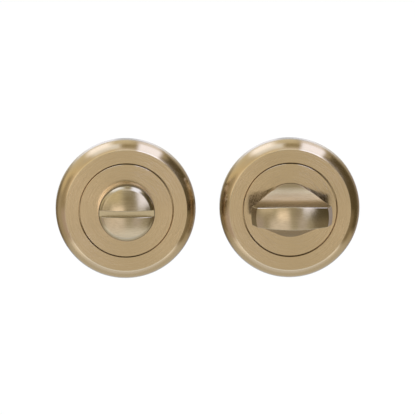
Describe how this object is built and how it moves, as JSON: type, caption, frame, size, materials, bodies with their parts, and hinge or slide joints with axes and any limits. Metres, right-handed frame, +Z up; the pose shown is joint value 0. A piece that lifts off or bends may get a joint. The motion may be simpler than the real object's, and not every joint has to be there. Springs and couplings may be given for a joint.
{
  "type": "bathroom thumb turn lock",
  "caption": "Bathroom lock set for a door: round brass rose with a scooped thumb turn on a square spindle, and a matching rose with a coin-slotted emergency release.",
  "frame": {"origin": "the thumb turn's axis on the door's face, in the middle of its four fixing screws", "axes": "+X to the right as the roses are seen from the front, +Y into the door, +Z up; both roses face -Y"},
  "size_m": [0.1085, 0.0849, 0.05],
  "materials": {
    "rose_brass": "satin antique brass, turned",
    "plate_brass": "satin antique brass, turned",
    "knob_brass": "satin antique brass, finely polished",
    "spring_steel": "bright spring steel",
    "plated_steel": "zinc plated",
    "plated_screw": "yellow zinc plated",
    "black_steel": "black oxide",
    "nylon": "natural nylon"
  },
  "bodies": {
    "roses": {"turn_cover": "rose_brass", "turn_mounting_plate": "plate_brass", "turn_cover_clip": "spring_steel", "turn_wood_screws": "plated_screw", "turn_bush": "nylon", "turn_dished_spring": "spring_steel", "release_cover": "rose_brass", "release_mounting_plate": "plate_brass", "release_cover_clip": "spring_steel", "release_wood_screws": "plated_screw", "release_bush": "nylon", "release_dished_spring": "spring_steel"},
    "turn": {"thumb_turn": "knob_brass", "spindle": "plated_steel", "spindle_grub_screw": "black_steel", "turn_stop_washer": "plated_steel", "turn_retaining_ring": "spring_steel"},
    "release": {"release_button": "knob_brass", "release_stop_washer": "plated_steel", "release_retaining_ring": "spring_steel"}
  },
  "joints": [
    {"name": "turn_spin", "type": "hinge", "parent": "roses", "child": "turn", "pos_m": [0, 0, 0], "axis": [0, 1, 0], "range_deg": [0, 90]},
    {"name": "release_spin", "type": "hinge", "parent": "roses", "child": "release", "pos_m": [-0.0585, 0, 0], "axis": [0, -1, 0], "range_deg": [0, 90]}
  ]
}
